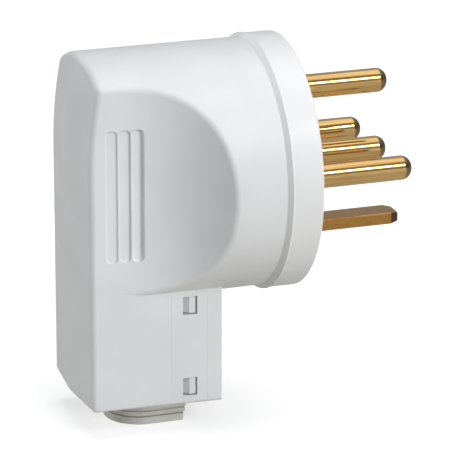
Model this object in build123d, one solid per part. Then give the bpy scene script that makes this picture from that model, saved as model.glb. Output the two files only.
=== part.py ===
from build123d import *
import math
import os

# Five-pole power plug with a side cable exit. Three phase pins stand round a central
# neutral pin, with a flat earth pin below. X runs along the pins towards their tips,
# Y across the plug and Z up. The origin is the centre of the flat face that meets the
# socket. All sizes are in millimetres.

# Pins
pin_radius = 3.0
pin_reach = 27.4
pin_tip_height = 2.3
pin_root_radius = 3.5
pin_root_setback = 0.4
pin_side_spacing = 17.4
pin_top_spacing = 17.5
collar_radius = 5.0
collar_thickness = 2.0
terminal_radius = 4.2
terminal_length = 12.0
wire_hole_radius = 2.4
wire_hole_setback = 7.6
terminal_edge = 0.4

# Earth pin and the block riveted to its tang
earth_spacing = 17.8
earth_reach = 30.4
earth_width = 6.7
earth_thickness = 3.0
earth_root_thickness = 3.4
earth_root_length = 12.0
earth_tip_length = 2.6
earth_tip_width = 3.6
earth_tip_thickness = 1.2
earth_shoulder_width = 10.0
earth_tang_width = 5.0
earth_tang_length = 4.5
earth_block_size = 8.4

# Pin carrier
carrier_radius = 31.4
carrier_lip_radius = 31.65
carrier_lip_length = 0.5
carrier_flange_depth = 7.9
carrier_bevel_length = 1.15
carrier_face_thickness = 4.0
carrier_depth = 12.0
carrier_edge_round = 0.5
spigot_end_depth = 14.0
spigot_wall = 2.2
pin_boss_wall = 1.3
pillar_wall = 2.4
retainer_pillar_wall = 2.0

# Retaining plate behind the pin collars
retainer_thickness = 2.5

# Housing
barrel_radius = 30.6
wall = 2.2
handle_half_width = 16.0
handle_front_depth = 20.5
handle_drop = 55.7
bottom_rise = 0.6
rear_depth = 54.9
rear_crown = 1.3
rear_ridge_half_width = 2.5
rear_lean_radius = 110.0
rear_lean_start = 5.0
cove_radius = 28.4
cove_start_depth = 46.5
handle_edge_round = 1.5
cove_edge_round = 1.7
lower_edge_round = 0.8
front_edge_round = 0.4
screw_post_radius = 4.0

# Grip flutes sunk into each flank
flute_count = 3
flute_pitch = 3.25
flute_first_depth = 48.35
flute_width = 2.9
flute_end_round = 1.2
flute_floor_round = 0.7
flute_cut = 0.95
flute_top = 15.8
flute_bottom = -17.2

# Latch windows and the lid that snaps into them
window_front_depth = 27.0
window_length = 3.6
window_height = 4.65
window_tops = (-27.75, -48.75)
latch_tooth_gap = 0.35
latch_side_gap = 0.1
latch_ramp_length = 1.6
latch_crest_inset = 0.25
latch_root_depth = 0.5
latch_toe = 0.2
latch_arm_rear_depth = 33.5
latch_arm_thickness = 1.75
latch_arm_top = -26.6
arm_stop_thickness = 1.0
arm_stop_height = 1.4
roof_half_width = 18.3

# Cable outlet
outlet_depth = 37.0
outlet_half_width = 8.35
outlet_front_depth = 27.35
cable_radius = 6.0

# Stepped grommet: an inner flange above the wall and three tiers below it
grommet_inner_half_width = 10.0
grommet_inner_thickness = 2.1
grommet_tier_half_widths = (9.4, 9.1, 8.9)
grommet_tier_heights = (2.9, 1.1, 1.9)
grommet_groove_heights = (0.5, 0.4)
grommet_groove_depth = 0.7
grommet_front_setback = 0.35
grommet_draft = 4.0

# Cable clamp
clamp_height = 42.0
clamp_bridge_height = 7.0
clamp_foot_thickness = 3.5
clamp_strap_thickness = 1.6
clamp_cable_gap = 0.2
clamp_screw_spacing = 9.2
clamp_post_radius = 2.5
clamp_bridge_half_length = 11.6

# Screws: shank radius, head radius and head height
terminal_screw = (2.0, 3.0, 2.0)
retainer_screw = (1.5, 2.8, 1.8)
housing_screw = (2.0, 3.5, 2.4)
clamp_screw = (1.4, 2.2, 1.6)
screw_slot_width = 0.9
screw_slot_share = 0.45
terminal_screw_gap = 0.6
retainer_screw_length = 8.5
housing_screw_length = 25.0
clamp_screw_length = 11.5
housing_screw_sink = 3.2
housing_screw_place = (11.5, 13.0)
retainer_screw_place = (12.0, -12.0)

# Clearances between pieces
fit_gap = 0.05
seat_gap = 0.15

# How far a cutting or forming shape runs past what it cuts or forms
overcut = 1.0
form_margin = 2.0

# Two places closer than this are taken as the same
same_place = 0.01

# The back is a ridge and a facet on each side of it, below and above where it starts to lean
back_face_count = 6

# Places along X, worked out from the sizes above
barrel_front_x = -(carrier_flange_depth + carrier_bevel_length)
carrier_back_x = -carrier_depth
collar_front_x = carrier_back_x + collar_thickness
terminal_end_x = carrier_back_x - terminal_length
wire_hole_x = carrier_back_x - wire_hole_setback
retainer_back_x = carrier_back_x - retainer_thickness
lid_front_x = -handle_front_depth
lid_back_x = lid_front_x - wall
outlet_x = -outlet_depth
rear_x = -rear_depth
barrel_bore = barrel_radius - wall
spigot_radius = barrel_bore - seat_gap
spigot_bore = spigot_radius - spigot_wall
flank_inner = handle_half_width - wall
floor_z = wall - handle_drop
arm_outer = flank_inner - seat_gap

phase_places = {
    "phase_pin_left": (pin_side_spacing, 0.0),
    "phase_pin_top": (0.0, pin_top_spacing),
    "phase_pin_right": (-pin_side_spacing, 0.0),
}
round_pin_places = dict(phase_places, neutral_pin=(0.0, 0.0))
earth_place = (0.0, -earth_spacing)
clamp_place = (clamp_screw_spacing, -clamp_height)
clamp_seat_x = outlet_x + clamp_foot_thickness
roof_z_range = (-barrel_radius - overcut, -barrel_radius / 2)


def rod_x(radius, x_start, x_end, place=(0.0, 0.0)):
    """Round bar along X between two depths, its axis at the given Y and Z."""
    bar = Cylinder(radius, abs(x_end - x_start), align=(Align.CENTER, Align.CENTER, Align.MIN))
    return Pos(min(x_start, x_end), *place) * Rot(0, 90, 0) * bar


def rod_z(radius, x, y, z_start, z_end):
    """Round bar along Z between two heights."""
    bar = Cylinder(radius, abs(z_end - z_start), align=(Align.CENTER, Align.CENTER, Align.MIN))
    return Pos(x, y, min(z_start, z_end)) * bar


def block(x_range, y_range, z_range):
    """Box between two limits on each axis."""
    size = [abs(high - low) for low, high in (x_range, y_range, z_range)]
    middle = [(low + high) / 2 for low, high in (x_range, y_range, z_range)]
    return Pos(*middle) * Box(*size)


def mirrored_places(place):
    """A place and its mirror image across the plug's middle plane."""
    return [place, (-place[0], place[1])]


def join(shapes):
    """All shapes fused into one."""
    shapes = list(shapes)
    whole = shapes[0]
    for shape in shapes[1:]:
        whole += shape
    return whole


def revolved(points):
    """Solid of revolution about X from an outline of depth and radius points."""
    outline = make_face(Polyline(*points, close=True))
    return revolve(Plane.XZ * outline, Axis.X)


def screw(sizes, length, seat_x, place, towards=-1):
    """Slotted screw along X: its head rests at seat_x and its shank runs towards the given side."""
    shank_radius, head_radius, head_height = sizes
    head_top_x = seat_x - towards * head_height
    shank = rod_x(shank_radius, seat_x, seat_x + towards * length, place)
    head = rod_x(head_radius, seat_x, head_top_x, place)
    slot_depth = head_height * screw_slot_share
    slot = block(
        (head_top_x + towards * slot_depth, head_top_x - towards * overcut),
        (place[0] - head_radius - overcut, place[0] + head_radius + overcut),
        (place[1] - screw_slot_width / 2, place[1] + screw_slot_width / 2),
    )
    return shank + head - slot


# Pins


def tip_dome(x_base, radius, height):
    """Rounded tip of a turned pin, an arc of revolution slightly flatter than a ball."""
    side = ThreePointArc(
        (x_base, radius),
        (x_base + height * math.sin(math.pi / 4), radius * math.cos(math.pi / 4)),
        (x_base + height, 0),
    )
    rest = Polyline((x_base + height, 0), (x_base, 0), (x_base, radius))
    return revolve(Plane.XZ * make_face(side + rest), Axis.X)


def round_pin(place):
    """Turned brass pin: contact, root, collar and a bored terminal barrel behind it."""
    barrel_end = pin_reach - pin_tip_height
    turned = revolved([
        (barrel_end, 0),
        (barrel_end, pin_radius),
        (0, pin_radius),
        (-pin_root_setback, pin_root_radius),
        (collar_front_x, pin_root_radius),
        (collar_front_x, collar_radius),
        (carrier_back_x, collar_radius),
        (carrier_back_x, terminal_radius),
        (terminal_end_x + terminal_edge, terminal_radius),
        (terminal_end_x, terminal_radius - terminal_edge),
        (terminal_end_x, 0),
    ])
    turned += tip_dome(barrel_end, pin_radius, pin_tip_height)
    reach = terminal_radius + overcut
    wire_hole = rod_z(wire_hole_radius, wire_hole_x, 0, -reach, reach)
    screw_hole = rod_x(terminal_screw[0] + fit_gap, terminal_end_x - overcut, wire_hole_x)
    return Pos(0, *place) * (turned - wire_hole - screw_hole)


def blade_section(x, width, thickness):
    """Rectangular section of the earth blade at one depth."""
    return Plane(origin=(x, *earth_place), x_dir=(0, 1, 0), z_dir=(1, 0, 0)) * Rectangle(width, thickness)


def earth_blade():
    """Flat sheared earth pin with a thicker root, a tapered tip, a shoulder and a tang."""
    y_mid, z_mid = earth_place
    tip_start = earth_reach - earth_tip_length
    blade = loft([
        blade_section(collar_front_x, earth_width, earth_root_thickness),
        blade_section(earth_root_length, earth_width, earth_thickness),
        blade_section(tip_start, earth_width, earth_thickness),
    ], ruled=True)
    tip = loft([
        blade_section(tip_start, earth_width, earth_thickness),
        blade_section(earth_reach, earth_tip_width, earth_tip_thickness),
    ])
    half_root = earth_root_thickness / 2
    shoulder = block(
        (carrier_back_x, collar_front_x),
        (y_mid - earth_shoulder_width / 2, y_mid + earth_shoulder_width / 2),
        (z_mid - half_root, z_mid + half_root),
    )
    tang = block(
        (carrier_back_x - earth_tang_length, carrier_back_x),
        (y_mid - earth_tang_width / 2, y_mid + earth_tang_width / 2),
        (z_mid - half_root, z_mid + half_root),
    )
    return blade + tip + shoulder + tang


def earth_block():
    """Brass terminal block that takes the tang, a wire and a clamping screw."""
    y_mid, z_mid = earth_place
    half = earth_block_size / 2
    y_range, z_range = (y_mid - half, y_mid + half), (z_mid - half, z_mid + half)
    body = block((terminal_end_x, carrier_back_x), y_range, z_range)
    body = chamfer(body.faces().sort_by(Axis.X)[0].edges(), terminal_edge)
    tang_room = block(
        (carrier_back_x - earth_tang_length - seat_gap, carrier_back_x + overcut),
        (y_mid - earth_tang_width / 2 - fit_gap, y_mid + earth_tang_width / 2 + fit_gap),
        (z_mid - earth_root_thickness / 2 - fit_gap, z_mid + earth_root_thickness / 2 + fit_gap),
    )
    wire_hole = rod_z(wire_hole_radius, wire_hole_x, y_mid, z_mid - half - overcut, z_mid + half + overcut)
    screw_hole = rod_x(terminal_screw[0] + fit_gap, terminal_end_x - overcut, wire_hole_x, earth_place)
    return body - tang_room - wire_hole - screw_hole


# Pin carrier and retaining plate


def carrier():
    """Moulded disc that holds the pins, with bosses and pillars inside its locating skirt."""
    lip_x = -carrier_flange_depth
    disc = revolved([
        (0, 0),
        (0, carrier_radius),
        (lip_x + carrier_lip_length, carrier_radius),
        (lip_x, carrier_lip_radius),
        (barrel_front_x, barrel_radius),
        (barrel_front_x, spigot_radius),
        (-spigot_end_depth, spigot_radius),
        (-spigot_end_depth, spigot_bore),
        (-carrier_face_thickness, spigot_bore),
        (-carrier_face_thickness, 0),
    ])
    front_rim = disc.edges().filter_by(GeomType.CIRCLE).sort_by(Axis.X)[-1]
    disc = fillet(front_rim, carrier_edge_round)

    boss_root_x = -carrier_face_thickness / 2
    boss_radius = collar_radius + pin_boss_wall
    bosses = [rod_x(boss_radius, carrier_back_x, boss_root_x, place) for place in round_pin_places.values()]
    half_width = earth_shoulder_width / 2 + pin_boss_wall
    half_height = earth_root_thickness / 2 + pin_boss_wall
    bosses.append(block(
        (carrier_back_x, boss_root_x),
        (-half_width, half_width),
        (-earth_spacing - half_height, -earth_spacing + half_height),
    ))
    for place in mirrored_places(housing_screw_place):
        bosses.append(rod_x(housing_screw[0] + pillar_wall, carrier_back_x, boss_root_x, place))
    for place in mirrored_places(retainer_screw_place):
        bosses.append(rod_x(retainer_screw[0] + retainer_pillar_wall, carrier_back_x, boss_root_x, place))
    solid = disc + join(bosses)

    cuts = []
    for place in round_pin_places.values():
        cuts.append(rod_x(pin_root_radius + fit_gap, carrier_back_x - overcut, overcut, place))
        cuts.append(rod_x(collar_radius + fit_gap, carrier_back_x - overcut, collar_front_x, place))
    slot_y = earth_width / 2 + fit_gap
    slot_z = earth_root_thickness / 2 + fit_gap
    shoulder_y = earth_shoulder_width / 2 + fit_gap
    z_range = (-earth_spacing - slot_z, -earth_spacing + slot_z)
    cuts.append(block((carrier_back_x - overcut, overcut), (-slot_y, slot_y), z_range))
    cuts.append(block((carrier_back_x - overcut, collar_front_x), (-shoulder_y, shoulder_y), z_range))
    for place in mirrored_places(housing_screw_place):
        cuts.append(rod_x(housing_screw[0] + seat_gap, carrier_back_x - overcut, overcut, place))
        cuts.append(rod_x(housing_screw[1] + seat_gap, -housing_screw_sink, overcut, place))
    for place in mirrored_places(retainer_screw_place):
        hole_end = retainer_back_x + retainer_screw_length + seat_gap
        cuts.append(rod_x(retainer_screw[0] + fit_gap, carrier_back_x - overcut, hole_end, place))
    return solid - join(cuts)


def retaining_plate():
    """Insulating plate that traps the pin collars in the carrier."""
    plate = rod_x(spigot_bore - seat_gap, retainer_back_x, carrier_back_x)
    cut_x = (retainer_back_x - overcut, carrier_back_x + overcut)
    cuts = []
    for place in round_pin_places.values():
        cuts.append(rod_x(terminal_radius + seat_gap, *cut_x, place))
    half = earth_block_size / 2 + seat_gap
    cuts.append(block(cut_x, (-half, half), (-earth_spacing - half, -earth_spacing + half)))
    for place in mirrored_places(housing_screw_place):
        cuts.append(rod_x(housing_screw[0] + seat_gap, *cut_x, place))
    for place in mirrored_places(retainer_screw_place):
        cuts.append(rod_x(retainer_screw[0] + seat_gap, *cut_x, place))
    return plate - join(cuts)


# Housing


def rear_form(inset):
    """Block whose back falls away on either side of a soft ridge and leans forward towards the top."""
    half = handle_half_width + form_margin
    slant = math.atan(rear_crown / handle_half_width)
    back = rear_x + inset
    ridge_x = back + rear_ridge_half_width * math.tan(slant / 2)
    edge_x = ridge_x + (half - rear_ridge_half_width) * math.tan(slant)
    near, far = (ridge_x, -rear_ridge_half_width), (ridge_x, rear_ridge_half_width)
    outline = Polyline(far, (edge_x, half), (barrel_front_x, half), (barrel_front_x, -half), (edge_x, -half), near)
    outline += ThreePointArc(near, (back, 0), far)
    plan = Pos(0, 0, rear_lean_start) * make_face(outline)
    lower = extrude(plan, -(handle_drop + rear_lean_start + form_margin))
    pivot = Axis((rear_x + rear_lean_radius, 0, rear_lean_start), (0, 1, 0))
    lean_angle = math.degrees(math.asin((barrel_radius + form_margin - rear_lean_start) / rear_lean_radius))
    upper = revolve(plan, pivot, lean_angle)
    top_x = rear_x + rear_lean_radius * (1 - math.cos(math.radians(lean_angle)))
    span = (-barrel_radius, barrel_radius)
    top_front = block((top_x + inset + form_margin, barrel_front_x + form_margin), span, span)
    return lower + upper + top_front


def trimmed_barrel(inset, front_x):
    """Barrel cut back to the handle's thickness and scooped by a finger cove on each side."""
    half = handle_half_width - inset
    reach = barrel_radius + overcut
    flat_x = (rear_x - form_margin - overcut, -cove_start_depth)
    barrel = rod_x(barrel_radius - inset, rear_x - form_margin, front_x)
    for side in (1, -1):
        cove_y = side * (handle_half_width + cove_radius)
        barrel -= block(flat_x, (side * half, side * reach), (-reach, reach))
        barrel -= rod_z(cove_radius + inset, -cove_start_depth, cove_y, -reach, reach)
    return barrel


def draft_below():
    """Wedge under the handle, whose bottom rises a little towards the back."""
    length = rear_depth - handle_front_depth + form_margin
    rise = bottom_rise * length / (rear_depth - handle_front_depth)
    low = -handle_drop - overcut
    side = Polyline(
        (lid_front_x, -handle_drop),
        (lid_front_x - length, rise - handle_drop),
        (lid_front_x - length, low),
        (lid_front_x, low),
        close=True,
    )
    return extrude(Plane.XZ * make_face(side), handle_half_width + overcut, both=True)


def envelope(inset, front_x):
    """Outer form of the housing, or its cavity when every wall is set in."""
    half = handle_half_width - inset
    barrel = trimmed_barrel(inset, front_x)
    handle_end_x = lid_front_x if inset == 0 else lid_front_x + overcut
    if inset == 0:
        edge_z = math.sqrt(barrel_radius**2 - handle_half_width**2)
        crest = barrel.edges().filter_by(GeomType.BSPLINE)
        straight = barrel.edges().filter_by(Axis.X)
        crest += [e for e in straight if abs(abs(e.center().Z) - edge_z) < same_place]
        barrel = fillet(crest, cove_edge_round)
    handle = block((rear_x - form_margin, handle_end_x), (-half, half), (inset - handle_drop, 0))
    if inset == 0:
        handle -= draft_below()
    return (barrel + handle) & rear_form(inset)


def round_outside(solid):
    """Soft moulded edges round the back, along the bottom and up the front of the handle."""
    edges = [e for face in solid.faces().sort_by(Axis.X)[:back_face_count] for e in face.edges()]
    outline = [edge for edge in edges if sum(edge.is_same(other) for other in edges) == 1]
    solid = fillet(outline, handle_edge_round)
    bottom = solid.faces().sort_by(Axis.Z)[0]
    low = [e for e in bottom.edges() if abs(abs(e.center().Y) - handle_half_width) < same_place]
    solid = fillet(low, lower_edge_round)
    front = [e for e in solid.edges().filter_by(Axis.Z) if abs(e.center().X - lid_front_x) < same_place]
    return fillet(front, front_edge_round)


def flute(x, side):
    """Cutter for one grip flute, with rounded ends and a softly rounded floor."""
    floor = Plane(
        origin=(x, side * (handle_half_width - flute_cut), (flute_top + flute_bottom) / 2),
        x_dir=(1, 0, 0),
        z_dir=(0, side, 0),
    )
    outline = floor * RectangleRounded(flute_width, flute_top - flute_bottom, flute_end_round)
    tool = extrude(outline, flute_cut + form_margin)
    deepest = tool.faces().sort_by(Axis.Y)[0 if side > 0 else -1]
    return fillet(deepest.edges(), flute_floor_round)


def outlet_shape(half_width, front_x, z_low, z_high, taper=0.0):
    """U-shaped prism of the cable outlet, round at the back and flat in front."""
    near, far = (outlet_x, -half_width), (outlet_x, half_width)
    straight = Polyline(far, (front_x, half_width), (front_x, -half_width), near)
    nose = ThreePointArc(near, (outlet_x - half_width, 0), far)
    plan = Pos(0, 0, z_high) * make_face(straight + nose)
    return extrude(plan, amount=z_low - z_high, taper=taper)


def housing():
    """Hollow moulded housing with finger coves, grip flutes, latch windows and screw posts."""
    shell = round_outside(envelope(0, barrel_front_x)) - envelope(wall, barrel_front_x + overcut)

    roof_room = block(
        (lid_front_x, barrel_front_x + overcut),
        (-roof_half_width, roof_half_width),
        roof_z_range,
    )
    outlet = outlet_shape(
        outlet_half_width, lid_front_x + overcut, -handle_drop - overcut, floor_z + overcut
    )
    shell -= roof_room
    shell -= outlet
    for side in (1, -1):
        for top in window_tops:
            shell -= block(
                (-window_front_depth - window_length, -window_front_depth),
                (side * (flank_inner - overcut), side * (handle_half_width + overcut)),
                (top - window_height, top),
            )

    posts = []
    for place in mirrored_places(housing_screw_place):
        posts.append(rod_x(screw_post_radius, rear_x, retainer_back_x, place))
    for place in mirrored_places(clamp_place):
        posts.append(rod_x(clamp_post_radius, rear_x, outlet_x, place))
    saddle_half = clamp_bridge_height / 2
    posts.append(block(
        (rear_x, outlet_x - clamp_foot_thickness),
        (-clamp_screw_spacing, clamp_screw_spacing),
        (-clamp_height - saddle_half, -clamp_height + saddle_half),
    ))
    for side in (1, -1):
        stop_x = -latch_arm_rear_depth - seat_gap
        posts.append(block(
            (stop_x - arm_stop_thickness, stop_x),
            (side * (flank_inner - arm_stop_height), side * (flank_inner + wall / 2)),
            (floor_z - wall / 2, latch_arm_top),
        ))
    inside = join(posts) & envelope(wall / 2, barrel_front_x)
    inside -= rod_z(
        cable_radius + clamp_cable_gap, outlet_x, 0,
        -clamp_height - clamp_bridge_height, -clamp_height + clamp_bridge_height,
    )
    for place in mirrored_places(housing_screw_place):
        tip_x = -housing_screw_sink - housing_screw_length - seat_gap
        inside -= rod_x(housing_screw[0] + fit_gap, tip_x, retainer_back_x + overcut, place)
    for place in mirrored_places(clamp_place):
        tip_x = clamp_seat_x - clamp_screw_length - seat_gap
        inside -= rod_x(clamp_screw[0] + fit_gap, tip_x, outlet_x + overcut, place)
    body = shell + inside
    for side in (1, -1):
        for index in range(flute_count):
            body -= flute(-flute_first_depth + index * flute_pitch, side)
    return body


# Front lid


def latch_tooth(side, top):
    """Wedge on a latch arm: a ramp towards the back and a flat crest in front."""
    front = -window_front_depth - latch_tooth_gap
    back = -window_front_depth - window_length + latch_side_gap
    crest = handle_half_width - latch_crest_inset
    base = arm_outer - latch_root_depth
    outline = Polyline(
        (front, side * base),
        (front, side * crest),
        (back + latch_ramp_length, side * crest),
        (back, side * (arm_outer + latch_toe)),
        (back, side * base),
        close=True,
    )
    height = window_height - latch_side_gap - latch_tooth_gap
    return extrude(Pos(0, 0, top - latch_side_gap) * make_face(outline), amount=-height, dir=(0, 0, 1))


def front_lid():
    """Snap-in cover of the handle's front, with a roof under the barrel and two latch arms."""
    roof = rod_x(barrel_radius, lid_back_x, barrel_front_x - fit_gap)
    roof -= rod_x(barrel_bore, lid_back_x - overcut, barrel_front_x + overcut)
    roof_y = roof_half_width - seat_gap
    wide = block((lid_front_x + fit_gap, 0), (-roof_y, roof_y), roof_z_range)
    narrow = block((lid_back_x, 0), (-arm_outer, arm_outer), roof_z_range)
    roof &= wide + narrow
    plate = block((lid_back_x, lid_front_x), (-arm_outer, arm_outer), (-handle_drop, roof_z_range[1]))
    plate -= rod_x(barrel_bore, lid_back_x - overcut, lid_front_x + overcut)
    sill_y = outlet_half_width - seat_gap
    corner_x = (lid_back_x - overcut, lid_front_x + overcut)
    corner_z = (-handle_drop - overcut, floor_z + seat_gap)
    for side in (1, -1):
        corner_y = (side * sill_y, side * (arm_outer + overcut))
        plate -= block(corner_x, corner_y, corner_z)
    sill = block((-outlet_front_depth, lid_back_x), (-sill_y, sill_y), (-handle_drop, floor_z))
    lid = roof + plate + sill
    for side in (1, -1):
        lid += block(
            (-latch_arm_rear_depth, lid_back_x),
            (side * (arm_outer - latch_arm_thickness), side * arm_outer),
            (floor_z + seat_gap, latch_arm_top),
        )
        for top in window_tops:
            lid += latch_tooth(side, top)
    return lid


# Cable outlet


def grommet():
    """Soft stepped grommet: an inner flange, a neck in the wall and three tiers below it."""
    neck_half_width = outlet_half_width - seat_gap
    front_x = -outlet_front_depth - seat_gap
    top_z = floor_z + grommet_inner_thickness
    z = -handle_drop - fit_gap
    body = outlet_shape(neck_half_width, front_x, z, floor_z + fit_gap)
    body += outlet_shape(grommet_inner_half_width, front_x, floor_z + fit_gap, top_z)
    for index, (half_width, height) in enumerate(zip(grommet_tier_half_widths, grommet_tier_heights)):
        tier_front = front_x - index * grommet_front_setback
        body += outlet_shape(half_width, tier_front, z - height, z, taper=grommet_draft)
        z -= height
        if index < len(grommet_groove_heights):
            groove_half_width = half_width - grommet_groove_depth
            groove_front = tier_front - grommet_groove_depth
            groove_height = grommet_groove_heights[index]
            body += outlet_shape(groove_half_width, groove_front, z - groove_height, z)
            z -= groove_height
    return body - rod_z(cable_radius, outlet_x, 0, z - overcut, top_z + overcut)


def clamp_bridge():
    """Strap that presses the cable on its saddle."""
    low, high = -clamp_height - clamp_bridge_height / 2, -clamp_height + clamp_bridge_height / 2
    arch = cable_radius + clamp_cable_gap
    strap = rod_z(arch + clamp_strap_thickness, outlet_x, 0, low, high)
    strap += block(
        (outlet_x, clamp_seat_x),
        (-clamp_bridge_half_length, clamp_bridge_half_length),
        (low, high),
    )
    reach = arch + clamp_strap_thickness + overcut
    strap -= rod_z(arch, outlet_x, 0, low - overcut, high + overcut)
    strap -= block((outlet_x - reach, outlet_x), (-reach, reach), (low - overcut, high + overcut))
    for place in mirrored_places(clamp_place):
        strap -= rod_x(clamp_screw[0] + seat_gap, outlet_x - overcut, clamp_seat_x + overcut, place)
    return strap


# Screws


def terminal_screws():
    """One clamping screw in the back of each terminal."""
    places = list(round_pin_places.values()) + [earth_place]
    length = terminal_end_x - terminal_screw_gap - wire_hole_x
    seat_x = terminal_end_x - terminal_screw_gap
    return [screw(terminal_screw, -length, seat_x, place, towards=1) for place in places]


def screw_pair(sizes, length, seat_x, place, towards=-1):
    """Two like screws on either side of the middle plane."""
    return [screw(sizes, length, seat_x, spot, towards) for spot in mirrored_places(place)]


def save(name, shape):
    """Write one node; a list becomes a group of separate solids."""
    if isinstance(shape, list):
        shape = Compound(children=[solid for item in shape for solid in item.solids()])
    export_step(shape, f"parts/{name}.step")


def main():
    """Build every node of the plug."""
    os.makedirs("parts", exist_ok=True)
    for name, place in round_pin_places.items():
        save(name, round_pin(place))
    save("earth_pin", earth_blade())
    save("earth_terminal", earth_block())
    save("pin_carrier", carrier())
    save("retaining_plate", retaining_plate())
    save("housing", housing())
    save("front_lid", front_lid())
    save("cable_grommet", grommet())
    save("clamp_bridge", clamp_bridge())
    save("terminal_screws", terminal_screws())
    save("retainer_screws", screw_pair(
        retainer_screw, retainer_screw_length, retainer_back_x, retainer_screw_place, towards=1,
    ))
    save("housing_screws", screw_pair(
        housing_screw, housing_screw_length, -housing_screw_sink, housing_screw_place,
    ))
    save("clamp_screws", screw_pair(
        clamp_screw, clamp_screw_length, clamp_seat_x, clamp_place,
    ))


main()
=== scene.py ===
import logging
import math
from dataclasses import dataclass, field
from enum import Enum
from typing import Any, Optional

import bmesh
import bpy
from bpy.types import Material, Node, NodeSocket, NodeTree, Object
from mathutils import Matrix, Vector


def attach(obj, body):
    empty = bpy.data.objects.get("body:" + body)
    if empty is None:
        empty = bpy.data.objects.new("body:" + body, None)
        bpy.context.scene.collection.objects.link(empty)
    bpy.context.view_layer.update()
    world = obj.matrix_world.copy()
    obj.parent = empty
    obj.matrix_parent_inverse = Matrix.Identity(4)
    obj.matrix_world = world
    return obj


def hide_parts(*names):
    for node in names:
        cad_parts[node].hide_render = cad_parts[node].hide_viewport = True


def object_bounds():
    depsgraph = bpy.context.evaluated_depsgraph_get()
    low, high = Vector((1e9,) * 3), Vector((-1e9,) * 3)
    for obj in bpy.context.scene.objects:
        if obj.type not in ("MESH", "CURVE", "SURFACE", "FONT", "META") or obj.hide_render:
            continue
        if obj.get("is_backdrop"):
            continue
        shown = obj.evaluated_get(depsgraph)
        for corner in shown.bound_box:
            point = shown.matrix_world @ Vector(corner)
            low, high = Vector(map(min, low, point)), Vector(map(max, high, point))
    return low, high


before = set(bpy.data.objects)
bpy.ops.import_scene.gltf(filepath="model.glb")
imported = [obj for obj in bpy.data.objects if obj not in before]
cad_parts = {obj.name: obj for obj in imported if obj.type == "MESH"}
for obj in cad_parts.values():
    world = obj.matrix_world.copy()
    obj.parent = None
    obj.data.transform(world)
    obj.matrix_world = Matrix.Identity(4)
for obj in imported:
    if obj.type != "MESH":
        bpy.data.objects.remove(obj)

# Looks of a five-pole power plug: a white moulded shell and pin carrier, turned brass pins, a
# sheared brass earth blade and a grey soft grommet. Lengths are in metres in the frame of the
# solids: the origin is the centre of the flat face that meets the socket, X runs along the pins
# towards their tips and Z is up, away from the cable outlet.

MM = 0.001
HALF_TURN = 180.0
WHOLE = (0.0, 1.0)  # ends of a share
WHITE = (1.0, 1.0, 1.0, 1.0)
LOG = logging.getLogger("plug")


class Side(Enum):
    """Component of a place or a direction, by the name of its output socket."""

    ALONG = "X"
    ACROSS = "Y"
    UP = "Z"


class Detail(Enum):
    """How many finer layers a cloudy pattern has."""

    SMOOTH = 1.0
    SOFT = 2.0
    ROUGH = 3.0
    BROKEN = 4.0


def linear_colour(code: str) -> tuple[float, float, float, float]:
    """Turn an sRGB hex code into linear RGBA.

    Args:
        code: Six hex digits with a leading hash.

    Returns:
        The linear red, green, blue and an alpha of 1.
    """
    channels = [int(code[i:i + 2], 16) / 255 for i in (1, 3, 5)]
    curved = [c / 12.92 if c <= 0.04045 else ((c + 0.055) / 1.055) ** 2.4 for c in channels]
    return (*curved, 1.0)


def add_node(tree: NodeTree, kind: str, settings: Optional[dict[str, Any]] = None,
             inputs: Optional[dict[Any, Any]] = None) -> Node:
    """Add a node, set its properties and fill or link its inputs.

    Args:
        tree: Node tree that gets the node.
        kind: Blender's name for the node type, without its common prefix.
        settings: Properties of the node by name.
        inputs: Values, sockets or nodes by the name or place of the input; a node stands for its
            first open output.

    Returns:
        The new node.
    """
    node = tree.nodes.new("ShaderNode" + kind)
    for name, value in (settings or {}).items():
        setattr(node, name, value)
    sockets = [socket for socket in node.inputs if socket.enabled]
    for key, value in (inputs or {}).items():
        by_place = isinstance(key, int)
        socket = sockets[key] if by_place else next(s for s in sockets if s.name == key)
        if isinstance(value, Node):
            value = next(s for s in value.outputs if s.enabled)
        if isinstance(value, NodeSocket):
            tree.links.new(value, socket)
        else:
            socket.default_value = value
    return node


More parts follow.
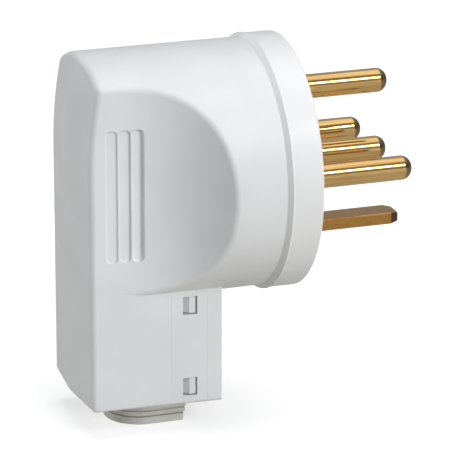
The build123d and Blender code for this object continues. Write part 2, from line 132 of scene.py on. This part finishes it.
@dataclass(frozen=True)
class Finish:
    """What every finish has: a name, softened arrises and patterns of a real size."""

    name: str
    edge_mm: float = 0.15
    rays: int = 6
    # Levels between which a cloudy pattern mostly stays
    usual: tuple[float, float] = (0.3, 0.7)
    # Openness up to which the painted shade of seams is full, and from which there is none
    crevice_shade_openness: tuple[float, float] = (0.1, 0.55)

    def start(self) -> tuple[Material, NodeTree, NodeSocket]:
        """Make the material with an empty tree.

        Returns:
            The material, its tree and the place on the piece in metres.
        """
        material = bpy.data.materials.new(self.name)
        material.use_nodes = True
        tree = material.node_tree
        tree.nodes.clear()
        return material, tree, add_node(tree, "TexCoord").outputs["Object"]

    def close(self, tree: NodeTree, surface: dict[str, Any]) -> None:
        """Add the shader and the output.

        Args:
            tree: Tree of the material.
            surface: Values, sockets or nodes of the shader by input name.
        """
        shader = add_node(tree, "BsdfPrincipled", inputs=surface)
        add_node(tree, "OutputMaterial", inputs={"Surface": shader})

    def spots(self, tree: NodeTree, place: NodeSocket, size_mm: float,
              detail: Detail = Detail.SOFT,
              stretch: tuple[float, float, float] = (1.0, 1.0, 1.0)) -> Node:
        """Cloudy pattern whose spots have a real size.

        Args:
            tree: Tree of the material.
            place: Place on the piece in metres.
            size_mm: Size of a spot in millimetres.
            detail: How many finer layers it has.
            stretch: How much longer a spot is along X, Y and Z.

        Returns:
            Node of the pattern, about 0.5 on average.
        """
        shrink = tuple(1 / (size_mm * MM * longer) for longer in stretch)
        space = add_node(tree, "Mapping", inputs={"Vector": place, "Scale": shrink})
        return add_node(tree, "TexNoise", inputs={
            "Vector": space, "Scale": 1.0, "Detail": detail.value,
        })

    def mottle(self, tree: NodeTree, pattern: Node | NodeSocket, colours: tuple[Any, Any],
               ends: Optional[tuple[float, float]] = None) -> Node:
        """Colour that passes softly from one to another where a pattern rises.

        Args:
            tree: Tree of the material.
            pattern: Pattern that decides.
            colours: Hex code or node for the low and for the high part of the pattern.
            ends: Levels of the pattern at which the second colour begins and is complete, the
                usual ones of a cloudy pattern if none.

        Returns:
            Node of the colour.
        """
        low, high = (linear_colour(c) if isinstance(c, str) else c for c in colours)
        start, end = ends or self.usual
        share = add_node(tree, "MapRange", {"interpolation_type": "SMOOTHSTEP"}, {
            "Value": pattern, "From Min": start, "From Max": end,
        })
        return add_node(tree, "Mix", {"data_type": "RGBA"}, {
            "Factor": share, "A": low, "B": high,
        })

    def relief(self, tree: NodeTree, *layers: tuple[Node, float]) -> Node:
        """Normal that rounds sharp arrises, as moulds and tumbling leave them, with reliefs on it.

        Args:
            tree: Tree of the material.
            layers: Pattern from 0 to 1 and its height in millimetres, the broadest first.

        Returns:
            Node of the normal.
        """
        normal = add_node(tree, "Bevel", {"samples": self.rays}, {"Radius": self.edge_mm * MM})
        for pattern, height_mm in layers:
            normal = add_node(tree, "Bump", inputs={
                "Height": pattern, "Distance": height_mm * MM, "Strength": 1.0, "Normal": normal,
            })
        return normal

    def painted_crevice_shade(self, tree: NodeTree, colour: Node, crevice_shade: str, reach_mm: float) -> Node:
        """Colour darkened and warmed where the piece is sheltered, as painted shade in its seams
        and hollows.

        Args:
            tree: Tree of the material.
            colour: Colour of the surface where nothing shades it.
            crevice_shade: Hex code of the painted shade.
            reach_mm: Width of the seams that the painted shade fills.

        Returns:
            Node of the colour.
        """
        # Painted shade: the colour turns darker and warmer where ambient occlusion closes in
        occlusion = add_node(tree, "AmbientOcclusion", {"samples": self.rays}, {
            "Distance": reach_mm * MM,
        })
        return self.mottle(tree, occlusion.outputs["AO"], (crevice_shade, colour), self.crevice_shade_openness)


@dataclass(frozen=True)
class MouldedPlastic(Finish):
    """Injection-moulded plastic: a spark-eroded grain over faint waves, with painted warm shade in
    its seams.
    """

    colour: str = "#EDEEF0"
    shade: str = "#E8E9EB"
    # Warm grey painted into seams as their shade
    crevice_shade: str = "#D9D0BC"
    ior: float = 1.5
    roughness: float = 0.42
    roughness_swing: float = 0.04
    grain_mm: float = 0.35  # the real grain is about 0.05 mm, too fine to show
    grain_height_mm: float = 0.003
    wave_mm: float = 9.0
    wave_height_mm: float = 0.02
    cloud_mm: float = 14.0
    seam_mm: float = 0.6

    def marks(self, tree: NodeTree, place: NodeSocket, colour: Node) -> Node:
        """Colour with the tool marks of this moulding, which has none by default."""
        return colour

    def make(self) -> Material:
        """Build the material.

        Returns:
            The finished material.
        """
        material, tree, place = self.start()
        clouds = self.spots(tree, place, self.cloud_mm, Detail.ROUGH)
        unshaded_colour = self.mottle(tree, clouds, (self.shade, self.colour))
        # Painted shade in the seams darkens and warms the colour
        colour = self.painted_crevice_shade(tree, unshaded_colour, self.crevice_shade, self.seam_mm)
        fine = self.spots(tree, place, self.grain_mm)
        waves = self.spots(tree, place, self.wave_mm, Detail.SMOOTH)
        low, high = self.usual
        gloss = add_node(tree, "MapRange", inputs={
            "Value": fine, "From Min": low, "From Max": high,
            "To Min": self.roughness - self.roughness_swing,
            "To Max": self.roughness + self.roughness_swing,
        })
        self.close(tree, {
            "Base Color": self.marks(tree, place, colour), "Roughness": gloss, "IOR": self.ior,
            "Normal": self.relief(
                tree, (waves, self.wave_height_mm), (fine, self.grain_height_mm),
            ),
        })
        return material


@dataclass(frozen=True)
class ShellPlastic(MouldedPlastic):
    """Plastic of the housing, with the witness lines of the slide that forms the latch windows."""

    edge_mm: float = 0.35
    # The slide's print: its depths behind the face, its top, and how far out the flanks begin
    slide_back_mm: float = -33.5
    slide_front_mm: float = -24.4
    slide_top_mm: float = -26.6
    flank_mm: float = 15.6
    line_mm: float = 0.14
    line_colour: str = "#E0E0DD"

    def marks(self, tree: NodeTree, place: NodeSocket, colour: Node) -> Node:
        """Colour with thin lines down each flank, where the slide's print ends.

        Args:
            tree: Tree of the material.
            place: Place on the housing in metres.
            colour: Colour of the plastic.

        Returns:
            Node of the colour with the lines.
        """
        middle = (self.slide_back_mm + self.slide_front_mm) / 2 * MM
        half = (self.slide_front_mm - self.slide_back_mm) / 2 * MM
        parts = add_node(tree, "SeparateXYZ", inputs={"Vector": place})
        from_middle = add_node(tree, "Math", {"operation": "SUBTRACT"}, {
            0: parts.outputs[Side.ALONG.value], 1: middle,
        })
        beside = add_node(tree, "Math", {"operation": "ABSOLUTE"}, {0: from_middle})
        over = add_node(tree, "Math", {"operation": "SUBTRACT"}, {0: beside, 1: half})
        gap = add_node(tree, "Math", {"operation": "ABSOLUTE"}, {0: over})
        near = add_node(tree, "Math", {"operation": "LESS_THAN"}, {
            0: gap, 1: self.line_mm / 2 * MM,
        })
        below = add_node(tree, "Math", {"operation": "LESS_THAN"}, {
            0: parts.outputs[Side.UP.value], 1: self.slide_top_mm * MM,
        })
        across = add_node(tree, "Math", {"operation": "ABSOLUTE"}, {
            0: parts.outputs[Side.ACROSS.value],
        })
        outside = add_node(tree, "Math", {"operation": "GREATER_THAN"}, {
            0: across, 1: self.flank_mm * MM,
        })
        drawn = add_node(tree, "Math", {"operation": "MULTIPLY"}, {0: near, 1: below})
        line = add_node(tree, "Math", {"operation": "MULTIPLY"}, {0: drawn, 1: outside})
        return self.mottle(tree, line, (colour, self.line_colour), WHOLE)


@dataclass(frozen=True)
class TurnedBrass(Finish):
    """Drawn brass bar turned to a pin: long faint streaks, fine tool rings and a duller tip."""

    colour: str = "#DFBA7E"
    shade: str = "#CCA364"
    tarnish: str = "#8E7C58"
    roughness: float = 0.12
    tip_roughness: float = 0.3
    # Where the tip's dome begins, and how far before and after that it turns dull
    tip_mm: float = 25.1
    tip_blend_mm: tuple[float, float] = (0.3, 0.5)
    # Patches that fingers have dulled, the levels of the pattern that count and how dull they are
    handled_mm: float = 4.0
    handled_ends: tuple[float, float] = (0.5, 0.8)
    handled_share: float = 0.3
    streak_mm: float = 0.5
    streak_stretch: tuple[float, float, float] = (30.0, 1.0, 1.0)
    ring_mm: float = 0.3  # the tool leaves rings of about 0.1 mm, too fine to show
    ring_stretch: tuple[float, float, float] = (1.0, 60.0, 60.0)
    ring_height_mm: float = 0.002

    def make(self) -> Material:
        """Build the material.

        Returns:
            The finished material.
        """
        material, tree, place = self.start()
        streaks = self.spots(tree, place, self.streak_mm, Detail.ROUGH, self.streak_stretch)
        colour = self.mottle(tree, streaks, (self.shade, self.colour))
        worn = self.wear(tree, place)
        rough = add_node(tree, "MapRange", inputs={
            "Value": worn, "To Min": self.roughness, "To Max": self.tip_roughness,
        })
        rings = self.spots(tree, place, self.ring_mm, Detail.SOFT, self.ring_stretch)
        self.close(tree, {
            "Base Color": self.mottle(tree, worn, (colour, self.tarnish), WHOLE), "Metallic": 1.0,
            "Roughness": rough, "Normal": self.relief(tree, (rings, self.ring_height_mm)),
        })
        return material

    def wear(self, tree: NodeTree, place: NodeSocket) -> Node:
        """Share of dulling, whole on the tip's dome and patchy on the rest.

        Args:
            tree: Tree of the material.
            place: Place on the pin in metres.

        Returns:
            Node of the share.
        """
        along = add_node(tree, "SeparateXYZ", inputs={"Vector": place}).outputs[Side.ALONG.value]
        before, after = self.tip_blend_mm
        tip = add_node(tree, "MapRange", {"interpolation_type": "SMOOTHSTEP"}, {
            "Value": along, "From Min": (self.tip_mm - before) * MM,
            "From Max": (self.tip_mm + after) * MM,
        })
        start, end = self.handled_ends
        handled = add_node(tree, "MapRange", {"interpolation_type": "SMOOTHSTEP"}, {
            "Value": self.spots(tree, place, self.handled_mm, Detail.ROUGH),
            "From Min": start, "From Max": end, "To Max": self.handled_share,
        })
        return add_node(tree, "Math", {"operation": "MAXIMUM"}, {0: tip, 1: handled})


@dataclass(frozen=True)
class ShearedBrass(Finish):
    """Brass strip sheared to a blade: a dull rolled face, browner torn side faces and a painted
    dark reflection on the sides of its tip.
    """

    edge_mm: float = 0.25
    colour: str = "#BE9762"
    side: str = "#C2904E"
    tarnish: str = "#8A6A42"
    roughness: float = 0.3
    side_roughness: float = 0.38
    # How far a face looks sideways before it counts as sheared in part, and wholly
    sheared_ends: tuple[float, float] = (0.5, 0.8)
    # From here on the side faces get a painted dark reflection, the dark room that the tip's cut
    # would mirror
    tip_mm: float = 28.3
    tip_painted_reflection: str = "#5E4E3A"
    blotch_mm: float = 1.1
    blotch_ends: tuple[float, float] = (0.48, 0.95)
    tear_mm: float = 0.3
    tear_stretch: tuple[float, float, float] = (1.0, 1.0, 5.0)
    tear_height_mm: float = 0.03

    def make(self) -> Material:
        """Build the material.

        Returns:
            The finished material.
        """
        material, tree, place = self.start()
        facing = add_node(tree, "NewGeometry").outputs["True Normal"]
        across = add_node(tree, "SeparateXYZ", inputs={"Vector": facing}).outputs[Side.ACROSS.value]
        flank = add_node(tree, "Math", {"operation": "ABSOLUTE"}, {0: across})
        start, end = self.sheared_ends
        torn = add_node(tree, "MapRange", {"interpolation_type": "SMOOTHSTEP"}, {
            "Value": flank, "From Min": start, "From Max": end,
        })
        bright = self.mottle(tree, torn, (self.colour, self.side), WHOLE)
        blotches = self.spots(tree, place, self.blotch_mm, Detail.BROKEN)
        colour = self.mottle(tree, blotches, (bright, self.tarnish), self.blotch_ends)
        along = add_node(tree, "SeparateXYZ", inputs={"Vector": place}).outputs[Side.ALONG.value]
        # Painted dark reflection: side faces past this depth take a dark colour instead of
        # mirroring the dark room
        painted_tip_zone = add_node(tree, "Math", {"operation": "GREATER_THAN"}, {
            0: along, 1: self.tip_mm * MM,
        })
        cut = add_node(tree, "Math", {"operation": "MULTIPLY"}, {0: painted_tip_zone, 1: torn})
        rough = add_node(tree, "MapRange", inputs={
            "Value": torn, "To Min": self.roughness, "To Max": self.side_roughness,
        })
        tears = add_node(tree, "Math", {"operation": "MULTIPLY"}, {
            0: self.spots(tree, place, self.tear_mm, Detail.ROUGH, self.tear_stretch), 1: torn,
        })
        # The tip's side faces take the painted dark reflection
        self.close(tree, {
            "Base Color": self.mottle(tree, cut, (colour, self.tip_painted_reflection), WHOLE),
            "Metallic": 1.0, "Roughness": rough,
            "Normal": self.relief(tree, (tears, self.tear_height_mm)),
        })
        return material


@dataclass(frozen=True)
class SoftVinyl(Finish):
    """Soft grey vinyl of the grommet: matt, a little blotchy, with painted warm shade in its
    grooves.
    """

    edge_mm: float = 0.2
    colour: str = "#E2E2DD"
    shade: str = "#D8D8D1"
    # Warm grey painted into the grooves as their shade
    crevice_shade: str = "#B3A98C"
    roughness: float = 0.62
    cloud_mm: float = 3.0
    pimple_mm: float = 0.5
    pimple_height_mm: float = 0.01
    seam_mm: float = 0.8

    def make(self) -> Material:
        """Build the material.

        Returns:
            The finished material.
        """
        material, tree, place = self.start()
        clouds = self.spots(tree, place, self.cloud_mm, Detail.ROUGH)
        unshaded_colour = self.mottle(tree, clouds, (self.shade, self.colour))
        pimples = self.spots(tree, place, self.pimple_mm, Detail.ROUGH)
        # The grooves get painted shade, darker and warmer
        self.close(tree, {
            "Base Color": self.painted_crevice_shade(tree, unshaded_colour, self.crevice_shade, self.seam_mm),
            "Roughness": self.roughness,
            "Normal": self.relief(tree, (pimples, self.pimple_height_mm)),
        })
        return material


@dataclass(frozen=True)
class ZincPlate(Finish):
    """Bright zinc on cut steel screws: greyish, slightly cloudy and scuffed by the driver."""

    edge_mm: float = 0.1
    colour: str = "#C8C9C6"
    shade: str = "#A9AAA6"
    roughness: float = 0.3
    roughness_swing: tuple[float, float] = (0.06, 0.08)
    cloud_mm: float = 0.8
    scuff_mm: float = 0.4
    grain_mm: float = 0.25
    grain_height_mm: float = 0.004

    def make(self) -> Material:
        """Build the material.

        Returns:
            The finished material.
        """
        material, tree, place = self.start()
        clouds = self.spots(tree, place, self.cloud_mm, Detail.BROKEN)
        low, high = self.usual
        less, more = self.roughness_swing
        rough = add_node(tree, "MapRange", inputs={
            "Value": self.spots(tree, place, self.scuff_mm), "From Min": low, "From Max": high,
            "To Min": self.roughness - less, "To Max": self.roughness + more,
        })
        grain = self.spots(tree, place, self.grain_mm)
        self.close(tree, {
            "Base Color": self.mottle(tree, clouds, (self.shade, self.colour)), "Metallic": 1.0,
            "Roughness": rough, "Normal": self.relief(tree, (grain, self.grain_height_mm)),
        })
        return material


def dress(node: str, material: Material) -> Object:
    """Give a solid its material.

    Args:
        node: Name of the solid.
        material: Material for all of it.

    Returns:
        The solid's object.
    """
    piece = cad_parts[node]
    piece.data.materials.clear()
    piece.data.materials.append(material)
    return piece


@dataclass
class Shell:
    """Housing and the lid that snaps into its front."""

    # White ABS from a spark-eroded mould scatters light softly and shows no grain from afar.
    plastic: ShellPlastic = field(
        default_factory=lambda: ShellPlastic("satin white ABS, spark-eroded"))
    # The lid is the same plastic, plain, because the slide leaves no print on it.
    lid_plastic: MouldedPlastic = field(
        default_factory=lambda: MouldedPlastic("satin white ABS, lid"))
    # The photo's grip flutes are less deep than the solid's: where they lie along X and Z, the
    # flank's distance from the middle, their depth there and how far their floors are lifted.
    flute_range_mm: tuple[tuple[float, float], tuple[float, float]] = (
        (-49.85, -40.35), (-17.25, 15.85),
    )
    flank_mm: float = 16.0
    flute_mm: float = 0.96
    flute_lift_mm: float = 0.6

    def build(self) -> list[Object]:
        """Dress the two mouldings and make the flutes shallower.

        Returns:
            The housing and the lid.
        """
        housing = dress("housing", self.plastic.make())
        self.lift_flutes(housing)
        return [housing, dress("front_lid", self.lid_plastic.make())]

    def lift_flutes(self, housing: Object) -> None:
        """Lift the points in the grip flutes, the more the deeper they lie.

        Args:
            housing: Object of the housing.
        """
        (back, front), (low, high) = self.flute_range_mm
        for name, way in (("flutes_left", 1.0), ("flutes_right", -1.0)):
            group = housing.vertex_groups.new(name=name)
            for point in housing.data.vertices:
                x, y, z = point.co / MM
                depth = self.flank_mm - y * way
                if back < x < front and low < z < high and 0.0 < depth < self.flute_mm:
                    group.add([point.index], depth / self.flute_mm, "REPLACE")
            lift = housing.modifiers.new(name, "DISPLACE")
            lift.direction, lift.mid_level = Side.ACROSS.value, 0.0
            lift.strength = way * self.flute_lift_mm * MM
            lift.vertex_group = name


@dataclass
class Insulator:
    """Pin carrier, the plate that traps the pins in it and the screws that hold both."""

    # A finer mould surface than the shell's makes its rim a little lighter, with a soft glint.
    carrier_plastic: MouldedPlastic = field(default_factory=lambda: MouldedPlastic(
        "smooth white ABS, carrier", colour="#F4F5F6", shade="#F0F1F2", roughness=0.34,
        grain_height_mm=0.002,
    ))
    # Natural polyamide is cream and slightly waxy.
    plate_plastic: MouldedPlastic = field(default_factory=lambda: MouldedPlastic(
        "natural polyamide, plate", colour="#D8D6CE", shade="#CECBC2", roughness=0.5,
    ))
    # Zinc makes the two screw heads cool grey dots, a little cloudy, in the white face.
    screw_plating: ZincPlate = field(default_factory=lambda: ZincPlate("bright zinc plate"))

    def build(self) -> list[Object]:
        """Dress the carrier, its plate and their screws.

        Returns:
            The four solids.
        """
        plating = self.screw_plating.make()
        return [
            dress("pin_carrier", self.carrier_plastic.make()),
            dress("retaining_plate", self.plate_plastic.make()),
            dress("housing_screws", plating),
            dress("retainer_screws", plating),
        ]


@dataclass
class Contacts:
    """Four round pins, the earth blade, its block and the wire screws."""

    # Turned brass mirrors the room in bands along the pin, and the drawn bar's streaks and the
    # fingers' patches break them up.
    turned: TurnedBrass = field(default_factory=lambda: TurnedBrass("turned brass"))
    # Sheared strip is dull on top, and torn and brown on its sides.
    sheared: ShearedBrass = field(default_factory=lambda: ShearedBrass("sheared brass strip"))
    # Cool grey zinc sets the wire screws off from the yellow brass.
    screw_plating: ZincPlate = field(
        default_factory=lambda: ZincPlate("zinc plate, terminal screws"))
    pins: tuple[str, ...] = ("neutral_pin", "phase_pin_left", "phase_pin_top", "phase_pin_right")
    blade_place_mm: tuple[float, float] = (0.0, -17.8)
    # Depth along the pins, half width and half thickness of the blade, from its tang to its tip
    blade_sections_mm: tuple[tuple[float, float, float], ...] = (
        (-16.5, 2.5, 1.7), (-12.0, 2.5, 1.7), (-12.0, 5.0, 1.7), (-10.0, 5.0, 1.7),
        (-10.0, 3.35, 1.7), (12.0, 3.35, 1.5), (28.3, 3.35, 1.5), (30.4, 2.45, 1.2),
    )
    blade_arris_mm: float = 0.3
    blade_arris_steps: int = 3
    blade_least_bend: float = 12.0

    def build(self) -> list[Object]:
        """Dress the pins, the block and the screws, and build the blade with its broken edges.

        Returns:
            All pieces of the contacts.
        """
        turned, sheared = self.turned.make(), self.sheared.make()
        pieces = [dress(pin, turned) for pin in self.pins]
        pieces += [self.blade(sheared), dress("earth_terminal", sheared)]
        return pieces + [dress("terminal_screws", self.screw_plating.make())]

    def blade(self, material: Material) -> Object:
        """Put the blade in the solid's place, with its edges broken.

        Args:
            material: Finish of the blade.

        Returns:
            The blade.
        """
        data = bpy.data.meshes.new("earth_blade")
        mesh = self.lofted_blade()
        mesh.to_mesh(data)
        mesh.free()
        blade = bpy.data.objects.new("earth_blade", data)
        bpy.context.scene.collection.objects.link(blade)
        broken = blade.modifiers.new("broken edges", "BEVEL")
        broken.width, broken.segments = self.blade_arris_mm * MM, self.blade_arris_steps
        broken.limit_method = "ANGLE"
        broken.angle_limit = math.radians(self.blade_least_bend)
        broken.harden_normals = True
        data.shade_smooth()
        data.materials.append(material)
        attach(blade, "root")
        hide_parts("earth_pin")
        return blade

    def lofted_blade(self) -> bmesh.types.BMesh:
        """Loft the blade through its sections, with sharp edges.

        Returns:
            The closed mesh.
        """
        mesh = bmesh.new()
        across, up = self.blade_place_mm
        rings = []
        for depth, wide, thick in self.blade_sections_mm:
            corners = ((-wide, -thick), (wide, -thick), (wide, thick), (-wide, thick))
            rings.append([
                mesh.verts.new((depth * MM, (across + y) * MM, (up + z) * MM)) for y, z in corners
            ])
        for low, high in zip(rings, rings[1:]):
            for here in range(len(low)):
                there = (here + 1) % len(low)
                mesh.faces.new((low[here], low[there], high[there], high[here]))
        mesh.faces.new(rings[0][::-1])
        mesh.faces.new(rings[-1])
        bmesh.ops.recalc_face_normals(mesh, faces=mesh.faces)
        return mesh


@dataclass
class CableEntry:
    """Grommet in the handle's bottom and the clamp above it."""

    # Soft vinyl is matt grey, and painted shade in its grooves draws its steps.
    vinyl: SoftVinyl = field(default_factory=lambda: SoftVinyl("soft grey vinyl"))
    # The same cream, waxy polyamide as the plate's.
    bridge_plastic: MouldedPlastic = field(default_factory=lambda: MouldedPlastic(
        "natural polyamide, clamp", colour="#D8D6CE", shade="#CECBC2", roughness=0.5,
    ))
    # The clamp's screws are cool grey and a little cloudy.
    screw_plating: ZincPlate = field(default_factory=lambda: ZincPlate("zinc plate, clamp screws"))

    def build(self) -> list[Object]:
        """Dress the grommet and the clamp.

        Returns:
            The three solids.
        """
        return [
            dress("cable_grommet", self.vinyl.make()),
            dress("clamp_bridge", self.bridge_plastic.make()),
            dress("clamp_screws", self.screw_plating.make()),
        ]


@dataclass(frozen=True)
class Softbox:
    """Rectangular soft lamp that points at the object."""

    name: str
    direction: tuple[float, float, float]
    size: tuple[float, float]
    level: float
    tint: str = "#FFFFFF"
    mirrored: bool = False
    distance: float = 1.1

    def hang(self) -> None:
        """Place the lamp; its level is the brightness of a white matt surface that faces it."""
        light = bpy.data.lights.new(self.name, "AREA")
        light.shape = "RECTANGLE"
        light.size, light.size_y = self.size
        light.energy = self.level * (math.pi * self.distance) ** 2
        light.color = linear_colour(self.tint)[:3]
        lamp = bpy.data.objects.new(self.name, light)
        bpy.context.scene.collection.objects.link(lamp)
        away = Vector(self.direction).normalized()
        lamp.location = away * self.distance
        lamp.rotation_mode = "QUATERNION"
        lamp.rotation_quaternion = away.to_track_quat("Z", "Y")
        lamp.visible_glossy = self.mirrored


@dataclass
class Studio:
    """Pale floor, white backdrop, soft room light and softboxes."""

    floor_z: float
    floor_size: float = 6.0
    # The board as it lights the object, as metal mirrors it, and as the camera sees it: there a
    # little glow brings it to the backdrop's white and leaves the object's shadow.
    floor_colour: str = "#B1AFA7"
    floor_in_metal: str = "#D6D6D2"
    floor_seen: str = "#E4E4E4"
    floor_glow: float = 0.56
    room_colour: str = "#E4EBFA"
    room_level: float = 0.155
    # What metal mirrors, by degrees up from the side that the camera stands on and over the top:
    # pale walls and a bright ceiling panel with darker gaps, which give turned metal its bands.
    mirrored_room: tuple[tuple[float, float], ...] = (
        (-180.0, 0.33), (-100.0, 0.3), (-83.0, 0.31), (-57.0, 0.48), (-35.0, 0.57), (-15.0, 0.67),
        (2.0, 0.8), (9.0, 0.8), (15.0, 0.3), (62.0, 0.3), (70.0, 0.3), (76.0, 1.3), (121.0, 1.3),
        (130.0, 0.5), (155.0, 0.5), (166.0, 0.35), (180.0, 0.33),
    )
    # Past the ends of the pins the room is dark, so that round ends look grey: how far round the
    # dark begins and is complete, and the share of light that is left there.
    dark_end: tuple[float, float, float] = (0.45, 0.85, 0.4)
    softboxes: tuple[Softbox, ...] = (
        Softbox("side_softbox", (0.60, -0.78, 0.12), (0.5, 0.25), 0.465),
        Softbox("front_softbox", (0.10, -0.75, 0.65), (0.8, 0.8), 0.08),
        Softbox("strip_softbox", (0.307, -0.729, 0.612), (0.36, 0.26), 0.165, mirrored=True),
        Softbox("top_softbox", (0.10, 0.05, 0.99), (0.8, 0.8), 0.49, "#FFFDF9"),
        Softbox("left_softbox", (-0.90, -0.30, 0.30), (0.8, 0.8), 0.17),
        Softbox("back_softbox", (-0.85, 0.50, 0.15), (0.8, 0.8), 0.285),
    )

    def build(self) -> None:
        """Build the floor, the world and the lamps."""
        self.lay_floor()
        self.light_room()
        for softbox in self.softboxes:
            softbox.hang()

    def lay_floor(self) -> None:
        """Lay a matt board under the lowest point of the object."""
        half = self.floor_size / 2
        mesh = bpy.data.meshes.new("floor")
        corners = [(-half, -half), (half, -half), (half, half), (-half, half)]
        mesh.from_pydata([(x, y, self.floor_z) for x, y in corners], [], [(0, 1, 2, 3)])
        floor = bpy.data.objects.new("floor", mesh)
        bpy.context.scene.collection.objects.link(floor)
        mesh.materials.append(self.board())
        floor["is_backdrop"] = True

    def board(self) -> Material:
        """Make the floor's matt pale board.

        Returns:
            The finished material.
        """
        material = bpy.data.materials.new("matt pale board")
        material.use_nodes = True
        tree = material.node_tree
        tree.nodes.clear()
        paths = add_node(tree, "LightPath")
        plain, in_metal, pale = (
            add_node(tree, "BsdfDiffuse", inputs={"Color": linear_colour(code)})
            for code in (self.floor_colour, self.floor_in_metal, self.floor_seen)
        )
        glow = add_node(tree, "Emission", inputs={"Color": WHITE, "Strength": self.floor_glow})
        lit = add_node(tree, "AddShader", inputs={0: pale, 1: glow})
        indirect = add_node(tree, "MixShader", inputs={
            0: paths.outputs["Is Glossy Ray"], 1: plain, 2: in_metal,
        })
        seen = add_node(tree, "MixShader", inputs={
            0: paths.outputs["Is Camera Ray"], 1: indirect, 2: lit,
        })
        add_node(tree, "OutputMaterial", inputs={"Surface": seen})
        return material

    def light_room(self) -> None:
        """Fill the room with soft light, show it in metal and show white behind the object."""
        world = bpy.data.worlds.new("studio")
        bpy.context.scene.world = world
        world.use_nodes = True
        tree = world.node_tree
        tree.nodes.clear()
        way = add_node(tree, "TexCoord").outputs["Generated"]
        room = add_node(tree, "Background", inputs={
            "Color": linear_colour(self.room_colour), "Strength": self.room_level,
        })
        in_metal = add_node(tree, "Background", inputs={
            "Color": self.mirrored_level(tree, way), "Strength": 1.0,
        })
        white = add_node(tree, "Background", inputs={"Color": WHITE, "Strength": 1.0})
        paths = add_node(tree, "LightPath")
        indirect = add_node(tree, "MixShader", inputs={
            0: paths.outputs["Is Glossy Ray"], 1: room, 2: in_metal,
        })
        straight = add_node(tree, "Math", {"operation": "MAXIMUM"}, {
            0: paths.outputs["Is Camera Ray"], 1: paths.outputs["Is Transmission Ray"],
        })
        seen = add_node(tree, "MixShader", inputs={0: straight, 1: indirect, 2: white})
        add_node(tree, "OutputWorld", inputs={"Surface": seen})

    def mirrored_level(self, tree: NodeTree, way: NodeSocket) -> Node:
        """Brightness of the room that metal shows, by the direction.

        Args:
            tree: Tree of the world.
            way: Direction that is looked in.

        Returns:
            Node of the brightness.
        """
        parts = add_node(tree, "SeparateXYZ", inputs={"Vector": way})
        towards = add_node(tree, "Math", {"operation": "MULTIPLY"}, {
            0: parts.outputs[Side.ACROSS.value], 1: -1.0,
        })
        turn = add_node(tree, "Math", {"operation": "ARCTAN2"}, {
            0: parts.outputs[Side.UP.value], 1: towards,
        })
        share = add_node(tree, "MapRange", inputs={
            "Value": turn, "From Min": -math.pi, "From Max": math.pi,
        })
        band = add_node(tree, "ValToRGB", inputs={"Fac": share})
        stops = band.color_ramp.elements
        while len(stops) < len(self.mirrored_room):
            stops.new(1.0)
        for stop, (degrees, level) in zip(stops, self.mirrored_room):
            stop.position = (degrees + HALF_TURN) / (2 * HALF_TURN)
            stop.color = (level, level, level, 1.0)
        begins, complete, left = self.dark_end
        end_level = add_node(tree, "MapRange", {"interpolation_type": "SMOOTHSTEP"}, {
            "Value": parts.outputs[Side.ALONG.value], "From Min": begins, "From Max": complete,
            "To Min": 1.0, "To Max": left,
        })
        return add_node(tree, "VectorMath", {"operation": "SCALE"}, {
            "Vector": band, "Scale": end_level,
        })


@dataclass
class PhotoCamera:
    """Camera at the photograph's viewing angle, above and behind the plug's right flank."""

    azimuth: float = -18.872
    elevation: float = 18.554
    roll: float = 0.09
    distance: float = 0.83425
    target: tuple[float, float, float] = (-0.014521, -0.000329, -0.015959)
    lens: float = 270.99
    sensor: float = 36.0
    sight: tuple[float, float] = (0.01, 20.0)

    def build(self) -> None:
        """Place the camera and make it the scene's."""
        turned, raised = math.radians(self.azimuth), math.radians(self.elevation)
        away = Vector((
            math.sin(turned) * math.cos(raised), -math.cos(turned) * math.cos(raised),
            math.sin(raised),
        ))
        data = bpy.data.cameras.new("camera")
        data.lens = self.lens
        data.sensor_width = self.sensor
        data.clip_start, data.clip_end = self.sight
        camera = bpy.data.objects.new("camera", data)
        bpy.context.scene.collection.objects.link(camera)
        place = Matrix.Translation(Vector(self.target) + away * self.distance)
        aim = (-away).to_track_quat("-Z", "Y").to_matrix().to_4x4()
        camera.matrix_world = place @ aim @ Matrix.Rotation(math.radians(self.roll), 4, "Z")
        bpy.context.scene.camera = camera


def main() -> None:
    """Dress every piece, set up the studio under their lowest point and place the camera."""
    logging.basicConfig(level=logging.INFO, format="%(name)s: %(message)s")
    cad_box = [list(corner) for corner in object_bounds()]
    for assembly in (Shell(), Insulator(), Contacts(), CableEntry()):
        for piece in assembly.build():
            LOG.info("%s in %s", piece.name, piece.data.materials[0].name)
    Studio(floor_z=cad_box[0][2]).build()
    PhotoCamera().build()
    bpy.context.scene.view_settings.view_transform = "Standard"


if __name__ == "__main__":
    main()
